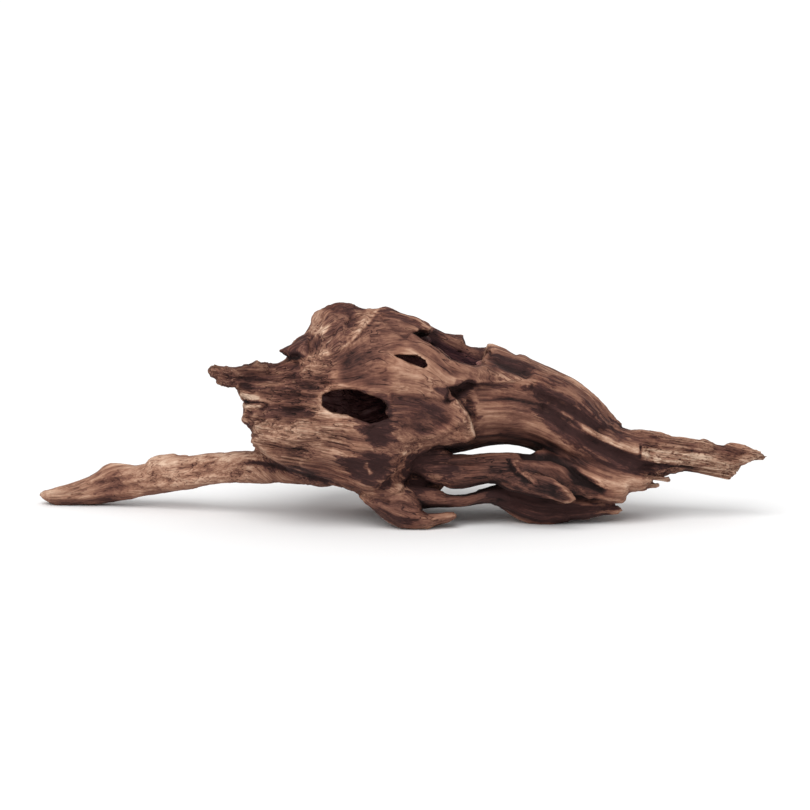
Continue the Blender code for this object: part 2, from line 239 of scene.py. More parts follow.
# The way the grain runs: its level in millimetres, and a line in the photograph along which it has that level,
# for the plate on the front left and for all the rest
PLATE_GRAIN = [
    (106, 238,366, 270,363, 292,350, 306,336),
    (118, 318,330, 332,318, 350,308),
    (112, 318,350, 344,334, 366,322, 392,316, 412,322),
    (103, 330,368, 366,352, 392,342, 412,340, 431,350, 449,366, 466,372),
    (95, 210,371, 250,377, 300,382, 330,384, 370,382, 400,384, 440,394, 470,412),
    (84, 216,384, 250,394, 300,400, 318,404, 345,410, 390,408, 420,410, 474,436),
    (74, 250,412, 300,415, 345,418, 390,424, 430,434, 452,444),
    (60, 252,430, 300,434, 345,442, 390,450, 412,458),
    (46, 258,448, 300,455, 345,464, 390,472, 402,480),
    (30, 290,472, 334,481, 360,490, 390,496),
    (52, 254,441, 290,446, 330,450),
]
BODY_GRAIN = [
    (14, 41,499, 72,504, 114,500, 167,490, 205,484, 260,481, 320,485),
    (22, 41,496, 90,490, 140,481, 200,471, 260,467, 320,474, 360,490),
    (30, 45,490, 89,478, 110,466, 151,461, 194,457, 254,452, 300,456, 345,470),
    (108, 240,372, 290,352, 335,312, 372,318, 425,340, 470,362, 500,372, 540,383),
    (108, 580,400, 610,424, 640,434, 700,443, 760,455),
    (120, 486,344, 530,360, 575,380, 610,410),
    (94, 244,390, 300,384, 360,376, 430,382, 480,393, 520,396, 550,404, 580,418),
    (94, 610,436, 640,446, 700,456, 735,464),
    (78, 250,412, 330,412, 400,408, 480,409, 520,410, 552,420, 590,446, 630,462),
    (78, 680,468, 728,476),
    (64, 256,436, 330,440, 400,432, 455,428, 490,424, 530,428, 560,443, 590,464),
    (64, 630,476, 655,480),
    (50, 300,464, 360,470, 420,455, 452,452, 480,449, 505,447, 535,450, 560,462),
    (50, 590,480, 620,488),
    (38, 410,470, 450,470, 490,468, 520,472, 545,482, 575,492, 610,500),
    (28, 446,484, 480,482, 510,486, 540,494, 570,502),
    (18, 405,492, 445,500, 470,498, 497,492, 560,506, 615,510),
    (5, 500,506, 540,522, 580,518, 610,514),
    (8, 362,498, 385,510, 410,520, 452,516),
]

# Relief along lines: the radius in pixels, the height in millimetres, and the line. FRONT_LEVELS are whole
# places that lie higher or lower: the height and the outline.
FRONT_RELIEF = [
    (7, -2.2, 534,389, 560,402, 585,415, 604,431),
    (8, -2.6, 545,410, 570,430, 600,448, 648,469),
    (5, -3.8, 524,455, 553,457, 568,464, 580,477, 600,491),
    (2.2, 1.3, 531,465, 559,469, 575,484, 587,495, 622,502),
    (9, -4, 487,352, 505,362, 527,372),
    (7, -5, 470,384, 455,392, 450,400),
    (5, -3, 468,400, 474,420),
    (6, -1.5, 385,318, 405,335),
    (13, -3, 368,424, 380,440),
    (14, -2, 352,468, 385,470),
    (3, -4, 293,356, 297,356),
    (4.5, 2.1, 579,425, 600,436, 620,447, 646,456),
    (1.6, -0.9, 362,356, 372,358, 376,364, 368,368, 360,364),
    (3, -0.9, 332,308, 340,320, 334,334),
    (3, -0.9, 346,306, 352,318, 346,332),
    (4.5, 1.7, 369,312, 362,326, 355,338),
    (5.5, 1.6, 412,337, 431,348, 449,363, 467,370, 500,376, 530,384),
    (15, 2.6, 318,452, 336,452),
    (15, 1.8, 262,436, 300,432, 345,430),
    (9, 1.6, 372,366, 400,372, 440,380, 470,386),
    (5, -1, 392,394, 420,399, 446,402),
    (7, 1.4, 410,438, 440,434, 462,420),
    (3, 1.4, 256,363, 258,365),
    (8, 1.2, 320,312, 345,320, 336,350),
    (6, -1.3, 355,345, 345,365),
    (3, -1.1, 245,378, 290,382, 322,383),
    (3, -1.2, 250,393, 285,395, 316,396),
    (4, -1.3, 262,406, 290,408, 318,407),
    (3, 0.9, 240,371, 280,372, 318,376),
    (3, -1.2, 258,419, 290,420, 322,421, 350,419),
    (3, -1.6, 249,461, 275,466, 300,472, 329,483),
    (4, -0.8, 60,490, 100,484, 150,474, 190,466),
    (4, -0.9, 105,492, 150,483, 210,474, 262,472),
    (4, 0.8, 80,498, 130,490),
    (5, -1, 480,398, 515,399, 545,408),
    (4, 1, 470,412, 510,411, 540,418, 560,431),
    (4, -1, 484,430, 520,432, 548,444, 580,464, 610,478),
    (4, -1.2, 560,372, 590,398, 612,420),
    (5, 1.2, 500,383, 540,388, 572,402),
    (3, -1.2, 636,434, 680,443, 716,452),
    (4, -1.2, 650,464, 700,468, 728,474),
    (4, -2, 716,447, 724,447),
    (4, -1.3, 450,463, 490,462, 522,468),
    (4, 1.1, 455,478, 490,474, 510,480),
    (2.6, -1.8, 508,459, 516,473, 531,483),
    (2.2, 1.2, 516,459, 524,471, 537,481),
    (5, 1.4, 540,470, 560,488, 590,496),
    (5, -1.6, 500,500, 540,510, 590,508),
    (4, 1.1, 372,496, 395,514, 430,520),
    (3, -2.4, 357,496.5, 372,500, 388,502),
    (4, -1.3, 385,504, 400,503, 412,508),
]
FRONT_LEVELS = [
    (-1.4, 228,372, 262,371, 300,375, 326,380, 330,388, 320,394, 317,404, 320,414, 300,419, 270,419, 258,414,
     262,400, 246,392),
    (-0.9, 392,396, 420,398, 448,401, 456,411, 450,426, 424,434, 404,428, 392,412),
    (0.8, 256,424, 300,424, 330,422, 336,430, 300,440, 262,438),
    (-1.0, 540,392, 575,408, 604,430, 600,436, 560,420, 536,400),
    (0.9, 586,428, 620,442, 648,452, 646,458, 610,450, 584,434),
    (-1.4, 538,479, 555,483, 562,487, 556,494, 540,488),
]
BACK_RELIEF = [
    (7, -3.2, 300,372, 360,352, 430,360, 500,392, 580,424),
    (6, 2.4, 270,398, 330,390, 400,384, 470,376),
    (8, -3, 262,430, 320,438, 380,440, 430,432),
    (11, 3.2, 310,408, 335,414, 350,428),
    (7, -2.6, 500,424, 560,440, 640,462, 700,462),
    (6, 2.4, 500,398, 560,414, 620,444, 690,454),
    (8, -2.6, 330,330, 352,345, 366,372),
    (6, 1.8, 400,330, 440,346, 470,366),
    (7, 2.2, 420,404, 444,388, 476,386, 502,398),
    (5, -1.8, 60,494, 120,484, 200,468),
    (5, -2, 360,470, 420,474, 520,466, 600,486),
    (5, -2.2, 240,396, 280,380, 330,372),
]

# Dark places on the front: stains and, where noted, painted shade in recesses and grooves: how dark, and
# the outline. Stained and shadow lines: the radius in pixels, how dark, and the line.
FRONT_STAINS_AND_SHADE = [
    (0.55, 320,306, 333,303, 350,304, 360,311, 363,322, 352,332, 345,345, 335,356, 325,352, 322,338, 326,325,
     318,316),
    (0.95, 280,350, 288,345, 302,336, 316,334, 314,345, 302,352, 292,356, 284,354),
    (0.75, 318,307, 333,300, 354,301, 364,308, 352,314, 326,316),
    (0.72, 204,364, 262,362, 300,366, 262,386, 230,390, 204,380),
    (0.4, 208,368, 240,367, 285,366, 322,374, 330,384, 320,392, 318,403, 322,412, 318,420, 290,421, 262,419,
     256,402, 244,396, 228,386, 214,380),
    (0.7, 254,407, 290,405, 316,408, 318,418, 290,420, 262,419),
    (0.52, 282,370, 312,374, 326,382, 316,390, 284,386),
    # The depression below the big hole: partly its own dark brown, partly painted shade
    (1.0, 353,419, 372,420, 388,403, 395,408, 394,416, 398,422, 396,434, 390,443, 372,446, 358,441, 353,430),
    (0.9, 339,462, 350,453, 372,452, 392,458, 396,470, 388,482, 375,490, 362,484, 350,475, 342,468),
    (0.5, 388,392, 410,396, 432,400, 450,404, 460,412, 456,424, 440,432, 424,436, 408,434, 396,424, 388,408),
    (0.72, 424,404, 440,402, 455,410, 452,424, 436,429, 426,420),
    # Painted shade: the shadowed gap under the plate's lower lip
    (0.95, 404,456, 420,450, 450,452, 453,470, 446,484, 430,492, 410,494, 403,480),
    # Painted shade: the recess that the plate's right lip overhangs
    (1.0, 448,388, 458,381, 474,379, 476,386, 462,396, 454,404),
    (0.8, 466,398, 474,402, 478,418, 472,424, 468,412),
    (0.6, 484,346, 500,350, 530,364, 528,374, 508,376, 492,366, 483,356),
    (0.7, 545,376, 558,375, 570,383, 566,388, 550,385),
    (1.0, 480,492, 500,487, 530,494, 560,502, 580,506, 600,503, 620,508, 600,517, 560,524, 530,523, 505,513,
     490,502),
    (0.62, 706,446, 724,444, 742,448, 757,455, 748,461, 730,462, 712,458),
    (0.35, 66,487, 92,486, 93,492, 68,493),
    (0.4, 112,492, 138,489, 139,499, 114,501),
    (0.6, 243,400, 255,398, 258,412, 256,440, 250,440, 246,424),
    (0.5, 430,318, 470,330, 484,350, 484,362, 470,364, 452,358, 436,344),
    (0.42, 350,305, 356,312, 352,328, 340,342, 322,350, 300,352, 286,352, 302,343, 326,336, 338,322, 342,308),
]
FRONT_STAIN_AND_SHADE_LINES = [
    # Painted shadows in the two grooves carved along these lines
    (8.5, 0.95, 534,391, 552,398, 575,408, 592,420, 604,430),
    (9, 0.95, 545,412, 560,425, 580,440, 605,453, 630,463, 648,469),
    (3, 0.75, 249,461, 275,466, 300,472, 329,483),
    # Painted shade, with some dark brown of its own, in the depression below the big hole
    (7, 0.8, 370,409, 384,424),
    (3.5, 0.6, 452,449, 480,446, 520,447),
    (3, 0.6, 604,430, 622,436, 634,441),
    (3, 0.5, 344,390, 372,393, 392,404, 420,410),
    (4, 0.8, 384,309, 396,314, 410,321, 428,329),
    (3, 0.35, 470,384, 520,386, 548,392),
    (3, 0.35, 520,368, 560,382, 600,408),
    (3, 0.5, 640,440, 672,444, 700,450, 716,456),
    # Painted shadow under the plate's lower lip
    (4, 0.8, 420,452, 440,450, 462,446),
    (5, 0.45, 374,500, 392,516, 410,526),
]
# Clean places within the stains and painted shade, in the same way
FRONT_CLEAN = [
    (0.7, 427,475, 437,473, 443,477, 438,482, 430,482),
]
FRONT_CLEAN_LINES = [
    (2.2, 0.9, 367,464, 370,472),
    (3.5, 0.85, 583,428, 600,436, 622,447, 646,456),
    (2, 0.6, 560,402, 566,405),
    (2, 0.5, 430,458, 442,455, 452,458),
    (2.5, 0.5, 392,482, 400,472, 404,462),
    (2, 0.5, 510,398, 530,402, 548,412),
]
# Lighter and darker places on the front, in the same way, with changes of tone that are added up
FRONT_TONES = [
    (0.12, 38,488, 110,456, 180,448, 262,446, 310,462, 300,487, 200,492, 60,512),
    (-0.16, 36,488, 96,462, 122,464, 118,508, 44,508),
    (-0.09, 256,423, 300,422, 340,420, 353,424, 352,440, 345,452, 330,458, 300,462, 275,458, 258,440),
    (0.12, 208,368, 300,366, 330,384, 318,403, 318,421, 262,419, 244,396),
    (0.04, 388,396, 440,402, 458,414, 440,432, 404,432),
    (0.1, 367,372, 380,366, 400,372, 425,376, 450,380, 484,384, 484,394, 460,392, 447,388, 425,392, 400,390,
     380,386),
    (-0.04, 448,385, 500,376, 560,392, 640,440, 650,486, 600,484, 545,455, 500,446, 455,450),
    (0.14, 560,440, 600,458, 650,472, 640,490, 600,484, 560,466),
    (0.16, 585,478, 640,486, 626,503, 606,503, 590,494),
    (-0.16, 488,468, 512,470, 545,478, 574,500, 560,504, 500,488),
    (-0.1, 480,492, 530,494, 580,506, 620,508, 600,517, 530,524, 490,502),
    (-0.16, 412,484, 446,490, 500,482, 508,508, 414,508),
    (-0.26, 334,352, 372,350, 396,372, 384,392, 344,386),
    (-0.26, 452,452, 530,450, 600,486, 628,500, 560,500, 450,488),
    (-0.06, 486,340, 540,358, 600,398, 622,425, 600,420, 540,384, 490,376),
    (-0.2, 372,496, 400,490, 500,492, 500,506, 456,522, 400,530, 372,508),
    (0.08, 440,445, 478,443, 530,444, 548,458, 520,452, 460,456),
    (0.36, 644,446, 665,444, 690,450, 713,452, 712,462, 690,466, 660,464, 646,458),
    (0.08, 396,436, 420,436, 450,430, 470,434, 440,444, 420,454, 402,452),
    (0.07, 466,402, 520,404, 556,424, 560,438, 500,430, 470,426),
    (0.2, 715,460, 745,458, 768,457, 760,462, 732,484, 690,476),
    (0.12, 370,490, 390,480, 404,478, 400,492, 384,497),
    (0.12, 427,475, 437,473, 443,477, 438,482, 430,482),
    (0.3, 240,393, 252,396, 263,402, 262,410, 246,408, 243,400),
    # Painted shade in the pit below the nose
    (-0.5, 290,354, 296,353, 300,356, 297,359, 291,359),
    (-0.16, 555,487, 572,490, 578,500, 566,506, 552,500),
    (-0.2, 538,479, 555,483, 562,487, 556,494, 540,488),
    (0.16, 310,314, 324,312, 326,334, 310,340),
    (0.09, 320,336, 350,336, 352,350, 318,352),
]
FRONT_TONE_LINES = [
    (8, -0.26, 413,338, 431,349, 449,364, 470,372, 490,374),
    (4, 0.06, 579,425, 600,437),
    (4, 0.24, 604,439, 622,448, 646,456),
    (4, 0.1, 370,311, 364,322, 356,337, 350,344),
    (2.5, 0.08, 367,464, 370,472),
    (4.5, -0.34, 524,455, 553,457, 568,464, 580,477, 600,491),
    (2, -0.26, 508,460, 516,473, 530,483),
    (2.5, 0.2, 464,402, 474,420, 476,437),
    (1.0, 0.06, 501,483, 512,489, 538,494, 564,503, 574,502, 575,498, 562,487, 555,483),
    (1.6, 0.1, 531,464, 559,468, 575,483, 587,494, 624,503),
    (1.2, 0.12, 512,460, 520,472, 533,481),
    (2.5, 0.2, 486,343, 500,348, 516,356, 540,364, 572,380, 606,406),
    (4, 0.1, 484,372, 504,375, 524,381),
    (2.5, 0.12, 258,421, 290,422, 340,420),
    (6, 0.06, 44,494, 90,482, 110,468, 170,458, 250,455),
    (3, -0.12, 60,504, 110,502, 180,490, 300,483),
    (3, 0.14, 390,480, 400,470, 404,460),
    (12, -0.05, 400,330, 380,345, 350,360),
]
# Crisp thin marks, light and dark, that stay at their exact places
FRONT_MARKS = [
    # Painted shade in the pit below the nose
    (3, -0.75, 293,356, 297,356),
    (1.8, -0.7, 246,401.5, 258,402.5),
    (1.6, 0.3, 245,397, 258,399),
    (1.6, 0.3, 244,406, 260,407),
    (1.3, -0.32, 242,388, 280,389, 318,388),
    (1.2, -0.25, 258,422, 300,421.5, 350,420),
    (1.5, 0.3, 378,309, 368,322, 352,339),
    (1.3, -0.2, 381,310, 371,324, 356,340),
    (1.2, 0.26, 501,483, 512,489, 538,494, 564,503, 574,501, 562,487, 555,483),
    (1.2, 0.2, 512,460, 520,472, 533,481),
    (2, 0.2, 367,464, 370,472),
    (1.3, 0.2, 325,413, 345,417, 356,423),
    (2.5, -0.3, 372,424, 384,423, 391,416, 387,404),
    (2.4, 0.35, 243,396, 256,398),
    (2.4, 0.3, 244,406, 258,407),
    (2, 0.3, 563,412, 572,418),
    (1.6, 0.25, 548,402, 556,405),
    (1.2, -0.3, 480,401, 510,399, 540,405),
    (1.2, -0.25, 484,409, 508,408, 530,412),
    (1.3, -0.25, 470,438, 500,435, 530,440, 552,450),
    (1.2, -0.6, 641,445, 640,457),
    (1.2, -0.35, 590,438, 615,448, 641,456),
    (1.2, -0.35, 644,446, 680,449, 713,453),
    (1.2, -0.35, 646,464, 690,467, 712,464),
    (1.4, -0.4, 465,384, 455,392, 462,402, 470,414),
    (1.3, 0.22, 450,390, 460,403, 470,418, 474,436),
    (1.4, 0.25, 404,454, 420,452, 440,447),
    (1.5, -0.3, 249,461, 275,466, 300,473, 326,482),
]
# Where the wood is weathered into ridges and cracks or, below 0, is smooth, and where pits are gnawed in it
FRONT_RUGGED = [
    (1.0, 200,360, 290,360, 330,372, 332,386, 318,396, 322,414, 310,424, 250,430, 236,396, 214,386),
    (0.7, 250,424, 350,420, 350,440, 300,466, 256,446),
    (0.5, 282,340, 330,330, 345,350, 330,368, 290,362),
    (0.9, 640,430, 770,450, 768,462, 735,484, 640,488),
    (0.3, 314,300, 360,302, 366,322, 350,350, 318,350),
    (-0.35, 472,394, 540,396, 575,420, 606,452, 642,474, 644,488, 620,504, 560,490, 520,452, 480,446, 474,420),
]
PITTED = [
    (1.0, 642,446, 665,443, 690,449, 714,452, 712,463, 690,467, 660,465, 644,459),
]


def across(columns):
    """x in millimetres: columns right of the middle one, times the size of a pixel."""
    return (np.asarray(columns, float) - MIDDLE_COLUMN) * PIXEL


def upward(rows):
    """v in millimetres: rows above the ground row, times the size of a pixel."""
    return (GROUND_ROW - np.asarray(rows, float)) * PIXEL


def pictured(x, v, w):
    """Where the lens sees a point: x and v drawn in to the picture's middle by LENS_AWAY / (LENS_AWAY + w)."""
    shrink = LENS_AWAY / (LENS_AWAY + w)
    middle = upward(MIDDLE_ROW)
    return x * shrink, middle + (v - middle) * shrink


def smooth_lowest(a, b, reach):
    """The lower of two fields, rounded where they are within reach: lowest - overlap squared / (4 reach)."""
    overlap = np.maximum(reach - np.abs(a - b), 0)
    return np.minimum(a, b) - overlap * overlap / (4 * reach)


def smooth_highest(a, b, reach):
    """The higher of two fields, rounded in the same way."""
    return -smooth_lowest(-a, -b, reach)


def fade(low, high, values):
    """0 below low and 1 above high, with a smooth cubic between: t squared times (3 - 2t)."""
    t = np.clip((values - low) / (high - low), 0, 1)
    return t * t * (3 - 2 * t)


def traced_points(traced):
    """x and v, in millimetres, of points that are listed as column,row pairs."""
    points = np.reshape(traced, (-1, 2))
    return np.stack([across(points[:, 0]), upward(points[:, 1])], 1)


def edge_lines(points, side):
    """A limb's edge at every half millimetre of x: as traced, and without its bumps.

    The second is the average, over 11 mm, of the edge's lowest height within 5.5 mm of each place, so it is
    never above the first. A lower edge is treated upside down (side -1).
    """

    def windows(values):
        return np.lib.stride_tricks.sliding_window_view(np.pad(values, 11, mode="edge"), 23)

    xs = np.arange(across(points[0, 0]) - 12, across(points[-1, 0]) + 12, 0.5)
    traced = np.interp(xs, across(points[:, 0]), side * upward(points[:, 1]))
    return xs, side * traced, side * windows(windows(traced).min(1)).mean(1)


def limb_field(limb, x, v, w):
    """Distance to a limb: its superellipse section |v/h|^p + |w/d|^p = 1 carried along x, plus twice the way
    past its ends.

    The section's value is turned into millimetres by dividing it by the length of its gradient. Where a limb
    wanders, its traced edges hold at the middle of the depth, as a bell curve over it, and further out the
    edges have no bumps and stray along x, so that nothing runs straight through the wood.
    """
    top, bottom, depth, power, wander = limb
    first = across(max(top[0, 0], bottom[0, 0]))
    last = across(min(top[-1, 0], bottom[-1, 0]))
    found = np.full(x.shape, FAR)
    near = (x > first - NEARBY) & (x < last + NEARBY)
    near &= (v > upward(bottom[:, 1].max()) - NEARBY) & (v < upward(top[:, 1].min()) + NEARBY)
    near &= (w > depth[:, 1].min() - NEARBY) & (w < depth[:, 2].max() + NEARBY)
    x, v, w = x[near], v[near], w[near]
    front = np.interp(x, across(depth[:, 0]), depth[:, 1])
    back = np.interp(x, across(depth[:, 0]), depth[:, 2])
    half_depth = np.maximum((back - front) / 2, 0.3)
    c = np.abs(w - (front + back) / 2) / half_depth
    bell = np.ones(x.shape)
    wandered = x
    if wander:
        bell = np.maximum(np.exp(-((c / 0.32) ** 2)), fade(-70, -84, x))
        wandered = x + (1 - bell) * wander * lattice_noise(w / 17, x / 50, v / 40, 7)
    xs, traced_top, plain_top = edge_lines(top, 1)
    xs_low, traced_bottom, plain_bottom = edge_lines(bottom, -1)
    high = bell * np.interp(x, xs, traced_top) + (1 - bell) * np.interp(wandered, xs, plain_top)
    low = bell * np.interp(x, xs_low, traced_bottom) + (1 - bell) * np.interp(wandered, xs_low, plain_bottom)
    half_height = np.maximum((high - low) / 2, 0.3)
    a = np.abs(v - (high + low) / 2) / half_height
    q = (a**power + c**power) ** (1 / power) + 1e-6
    slope = np.sqrt((a ** (power - 1) / half_height) ** 2 + (c ** (power - 1) / half_depth) ** 2)
    slope = slope * q ** (1 - power) + 1e-6
    beyond = np.maximum(np.maximum(first - x, x - last), 0)
    found[near] = np.minimum((q - 1) / slope + 2 * beyond, FAR)
    return found


def edge_distance(starts, ends, x, v):
    """Distance to the nearest of the straight edges from starts to ends: to the nearest point on each, which
    is at the share t of its length where the way to the point is square to the edge, kept within 0 and 1."""
    nearest = np.full(x.shape, 1e9)
    for (ax, av), (bx, bv) in zip(starts, ends):
        dx, dv = bx - ax, bv - av
        t = np.clip(((x - ax) * dx + (v - av) * dv) / (dx * dx + dv * dv), 0, 1)
        nearest = np.minimum(nearest, (x - ax - t * dx) ** 2 + (v - av - t * dv) ** 2)
    return np.sqrt(nearest)


def line_distance(line, x, v):
    """Distance to an open line of points: the nearest of its pieces."""
    points = traced_points(line)
    return edge_distance(points[:-1], points[1:], x, v)


def outline_distance(outline, x, v):
    """Distance to a closed outline, negative inside: the nearest of its edges, with the sign by crossings."""
    corners = traced_points(outline)
    following = np.roll(corners, -1, 0)
    inside = np.zeros(x.shape, bool)
    for (ax, av), (bx, bv) in zip(corners, following):
        inside ^= ((av > v) != (bv > v)) & (x < ax + (v - av) * (bx - ax) / (bv - av or 1e-9))
    return np.where(inside, -1, 1) * edge_distance(corners, following, x, v)


class PictureGrid:
    """A function of the photograph's plane kept on a grid, and read there by bilinear blending: the mean of the
    four values around a point, each weighted by how near the point is to it."""

    def __init__(self, values_at, spacing=0.8):
        self.spacing = spacing
        count = np.ceil((SPACE_HIGH - SPACE_LOW)[:2] / spacing).astype(int) + 2
        xs = SPACE_LOW[0] + spacing * np.arange(count[0])
        vs = SPACE_LOW[1] + spacing * np.arange(count[1])
        self.values = values_at(*np.meshgrid(xs, vs, indexing="ij"))

    def __call__(self, x, v):
        a = np.clip((x - SPACE_LOW[0]) / self.spacing, 0, self.values.shape[0] - 1.001)
        b = np.clip((v - SPACE_LOW[1]) / self.spacing, 0, self.values.shape[1] - 1.001)
        i, j = a.astype(int), b.astype(int)
        s, t = a - i, b - j
        low = self.values[i, j] * (1 - s) + self.values[i + 1, j] * s
        high = self.values[i, j + 1] * (1 - s) + self.values[i + 1, j + 1] * s
        return low * (1 - t) + high * t


def outline_grid(outline):
    """The distance to an outline, kept on a grid."""
    return PictureGrid(lambda x, v: outline_distance(outline, x, v))


plate_grid = outline_grid(PLATE)
window_grid = outline_grid(WINDOW)
front_holes = [outline_grid(BIG_HOLE), outline_grid(SMALL_HOLE)]
back_holes = [outline_grid(BACK_HOLE), outline_grid(BACK_KNOT_HOLE)]


def height_over_ground(v, w):
    """How high a point stands in the tilted picture: v cos(tilt) - w sin(tilt), less the ground's height."""
    return v * math.cos(TILT) - w * math.sin(TILT) - ORIGIN[2]


def wood_field(x, v, w):
    """Distance to the whole root, negative in the wood.

    The trunk, torn back by noise on the left, carries a plate of sound wood on its front left and the spike, a
    slanted sheet. Both have the plate's outline, moved a little by noise. The hollow, the window and the holes
    are taken out of them, then the limbs are joined on, and the ground cuts all of it flat. All but the ground
    is worked out where the lens sees it, so that the traced edges hold at every depth.
    """
    over_ground = height_over_ground(v, w)
    x, v = pictured(x, v, w)
    whole = limb_field(TRUNK, x, v, w)
    trunk = whole.copy()
    end = x < TORN_START
    torn = 3.5 + 5 * lattice_noise(x[end] / 60, v[end] / 7, w[end] / 7, 8)
    torn += 4 * lattice_noise(x[end] / 60, v[end] / 2.6, w[end] / 3, 9) + 0.2 * np.maximum(w[end], 0)
    torn = np.maximum(torn, 0) * fade(TORN_START, TORN_FULL, x[end])
    trunk[end] = limb_field(TRUNK, x[end] - torn, v[end], w[end])
    ragged_x = x + 0.9 * lattice_noise(x / 5, v / 3.2, w / 7, 1)
    ragged_v = v + 0.6 * lattice_noise(x / 4, v / 4, w / 7, 2)
    plate_edge = plate_grid(ragged_x, ragged_v)
    proud = PLATE_PROUD * fade(-116, -98, x) * fade(68, 44, x)
    plate = smooth_highest(smooth_highest(whole - proud, plate_edge, 2), w - PLATE_BACK, 6)
    along_spike = np.clip(x - SPIKE_TIP, 0, SPIKE_TAPER)
    spike_sheet = np.abs(w + SPIKE_DEPTH[0] + SPIKE_DEPTH[1] * along_spike)
    spike_sheet = spike_sheet - SPIKE_HALF[0] - SPIKE_HALF[1] * along_spike
    spike = smooth_highest(smooth_highest(spike_sheet, plate_edge, 2), x - SPIKE_END, 3)
    body = smooth_lowest(trunk, plate, 2)
    body = smooth_lowest(body, spike, 6)
    body = smooth_highest(body, -limb_field(HOLLOW, x, v, w), 5)
    inward = fade(-38, -10, w)
    window_x = ragged_x + 7 * inward * lattice_noise(x / 40, v / 16, w / 13, 10)
    window_v = ragged_v + 9 * inward * lattice_noise(x / 24, v / 40, w / 15, 14)
    body = smooth_highest(body, -smooth_highest(window_grid(window_x, window_v), w - WINDOW_BACK, 4), 3)
    body = smooth_lowest(body, limb_field(REAR_RIM, x, v, w), 4)
    for hole in front_holes:
        body = smooth_highest(body, -smooth_highest(hole(ragged_x, ragged_v), w, 3), 1)
    for hole in back_holes:
        body = smooth_highest(body, -smooth_highest(hole(x, v), -w, 3), 4)
    for limb, reach in JOINED:
        body = smooth_lowest(body, limb_field(limb, x, v, w), reach)
    return smooth_highest(body, -over_ground, 1)


def read_field():
    """The field on a grid: first at every BLOCK-th point, then at each point of the blocks near the surface."""
    blocks = np.ceil((SPACE_HIGH - SPACE_LOW) / (STEP * BLOCK)).astype(int)
    middles = [SPACE_LOW[k] + STEP * (BLOCK * np.arange(blocks[k]) + (BLOCK - 1) / 2) for k in range(3)]
    rough = wood_field(*(side.ravel() for side in np.meshgrid(*middles, indexing="ij"))).reshape(blocks)
    near = np.abs(rough) < STEP * BLOCK * 1.3
    near = near.repeat(BLOCK, 0).repeat(BLOCK, 1).repeat(BLOCK, 2)
    field = np.where(rough < 0, -FAR, FAR).repeat(BLOCK, 0).repeat(BLOCK, 1).repeat(BLOCK, 2)
    spots = np.argwhere(near)
    x, v, w = (SPACE_LOW + STEP * spots).T
    field[near] = wood_field(x, v, w)
    return field


def surface_of(field):
    """Surface nets: one point in each cell that the surface crosses, at the mean of its edges' crossings,
    and one four-sided face across each grid edge whose ends differ in sign."""
    inside = field < 0
    size = np.array(field.shape) - 1
    count = sum(
        inside[i : i + size[0], j : j + size[1], k : k + size[2]].astype(np.int8) for i, j, k in CELL_CORNERS
    )
    cells = np.argwhere((count > 0) & (count < 8))
    values = np.stack([field[tuple((cells + corner).T)] for corner in CELL_CORNERS], 1)
    total = np.zeros((len(cells), 3))
    crossings = np.zeros(len(cells))
    for a in range(8):
        for b in range(a + 1, 8):
            way = CELL_CORNERS[b] - CELL_CORNERS[a]
            if np.abs(way).sum() != 1:
                continue
            crossed = (values[:, a] < 0) != (values[:, b] < 0)
            part = np.where(crossed, values[:, a] / np.where(crossed, values[:, a] - values[:, b], 1), 0)
            total += crossed[:, None] * (CELL_CORNERS[a] + part[:, None] * way)
            crossings += crossed
    points = SPACE_LOW + STEP * (cells + total / crossings[:, None])
    index = np.full(size, -1)
    index[tuple(cells.T)] = np.arange(len(cells))
    faces = []
    for axis in range(3):
        one, two = [side for side in range(3) if side != axis]
        start = np.take(inside, range(size[axis]), axis)
        end = np.take(inside, range(1, size[axis] + 1), axis)
        edges = np.argwhere(start != end)
        corner_cells = []
        for back_one, back_two in ((1, 1), (0, 1), (0, 0), (1, 0)):
            cell = edges.copy()
            cell[:, one] -= back_one
            cell[:, two] -= back_two
            corner_cells.append(index[tuple(cell.T)])
        quads = np.stack(corner_cells, 1)
        outward = start[tuple(edges.T)] != (axis == 1)
        quads[~outward] = quads[~outward][:, ::-1]
        faces.append(quads)
    return points, np.concatenate(faces)


def lattice_noise(x, y, z, seed):
    """Gradient noise, about -1 to 1: at each corner of the unit cell a random slope times the way from it,
    blended by the quintic 6t^5 - 15t^4 + 10t^3. The cells of a noise are made as large as its marks, in
    millimetres, by what each coordinate is divided by before it comes here."""
    spot = np.stack([x, y, z], -1)
    cell = np.floor(spot).astype(np.int64)
    part = spot - cell
    ease = part**3 * (part * (part * 6 - 15) + 10)
    total = np.zeros(len(spot))
    for corner in CELL_CORNERS:
        mixed = (cell + corner) @ np.array([374761393, 668265263, 1442695041]) + seed * 974634777
        mixed &= 0xFFFFFFFF
        mixed = ((mixed ^ (mixed >> 13)) * 1274126177) & 0xFFFFFFFF
        mixed ^= mixed >> 16
        slopes = np.stack([mixed & 1023, (mixed >> 10) & 1023, (mixed >> 20) & 1023], -1) / 511.5 - 1
        weight = np.prod(np.where(corner, ease, 1 - ease), -1)
        total += weight * (slopes * (part - corner)).sum(-1)
    return total * 1.2


